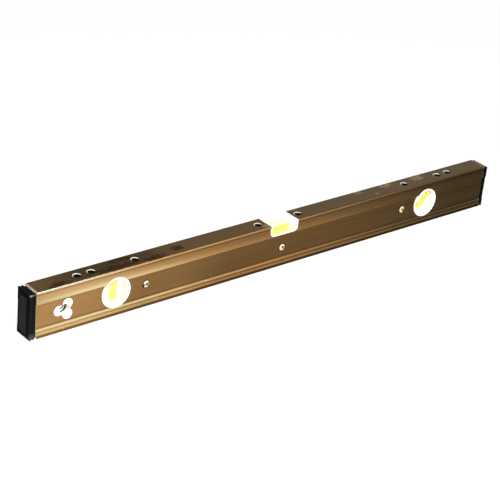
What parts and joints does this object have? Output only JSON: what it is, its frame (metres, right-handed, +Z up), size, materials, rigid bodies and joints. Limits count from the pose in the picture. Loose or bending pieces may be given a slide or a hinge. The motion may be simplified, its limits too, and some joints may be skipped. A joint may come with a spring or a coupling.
{
  "type": "spirit level",
  "caption": "Box-section magnetic spirit level with level, plumb and angled bubble vials, magnets let into its upper edge, a hanging hole and end caps.",
  "frame": {"origin": "middle of the lower face, which the level stands on", "axes": "+X along the beam towards the angled vial, -Y out of the marked face, +Z up to the magnet edge"},
  "size_m": [0.6139, 0.0226, 0.05],
  "materials": {
    "bronze_anodised": "satin bronze anodised, upper edge darker and milled",
    "cap_black": "black moulded plastic, light sheen",
    "white_plastic": "white moulded plastic",
    "clear_block": "clear polished plastic",
    "ring_yellow": "printed yellow line",
    "vial_liquid": "yellow-green liquid",
    "air_bubble": "air",
    "screw_brass": "bright brass-coloured plating",
    "cup_nickel": "bright nickel plating",
    "magnet_black": "black sintered magnet"
  },
  "bodies": {
    "level": {"beam": "bronze_anodised", "left_end_cap": "cap_black", "right_end_cap": "cap_black", "hang_liner_front": "white_plastic", "hang_liner_back": "white_plastic", "plumb_holder": "white_plastic", "angle_holder": "white_plastic", "level_holder": "white_plastic", "holder_screws": "screw_brass", "plumb_block": "clear_block", "plumb_rings": "ring_yellow", "plumb_liquid": "vial_liquid", "plumb_plug": "white_plastic", "level_block": "clear_block", "level_rings": "ring_yellow", "level_liquid": "vial_liquid", "level_plug": "white_plastic", "angle_block": "clear_block", "angle_rings": "ring_yellow", "angle_liquid": "vial_liquid", "angle_plug": "white_plastic", "magnet_cup_1": "cup_nickel", "magnet_1": "magnet_black", "magnet_cup_2": "cup_nickel", "magnet_2": "magnet_black", "magnet_cup_3": "cup_nickel", "magnet_3": "magnet_black", "magnet_cup_4": "cup_nickel", "magnet_4": "magnet_black", "magnet_cup_5": "cup_nickel", "magnet_5": "magnet_black", "magnet_cup_6": "cup_nickel", "magnet_6": "magnet_black", "magnet_cup_7": "cup_nickel", "magnet_7": "magnet_black", "magnet_cup_8": "cup_nickel", "magnet_8": "magnet_black"},
    "level_bubble": {"level_bubble": "air_bubble"},
    "plumb_bubble": {"plumb_bubble": "air_bubble"},
    "angle_bubble": {"angle_bubble": "air_bubble"}
  },
  "joints": [
    {"name": "level_bubble_slide", "type": "slide", "parent": "level", "child": "level_bubble", "axis": [1, 0, 0], "range_m": [-0.0075, 0.0075], "stiffness_N_per_m": 20},
    {"name": "plumb_bubble_slide", "type": "slide", "parent": "level", "child": "plumb_bubble", "axis": [0, 0, 1], "range_m": [-0.0142, 0], "stiffness_N_per_m": 20},
    {"name": "angle_bubble_slide", "type": "slide", "parent": "level", "child": "angle_bubble", "axis": [0.7071, 0, 0.7071], "range_m": [-0.0142, 0], "stiffness_N_per_m": 20}
  ]
}
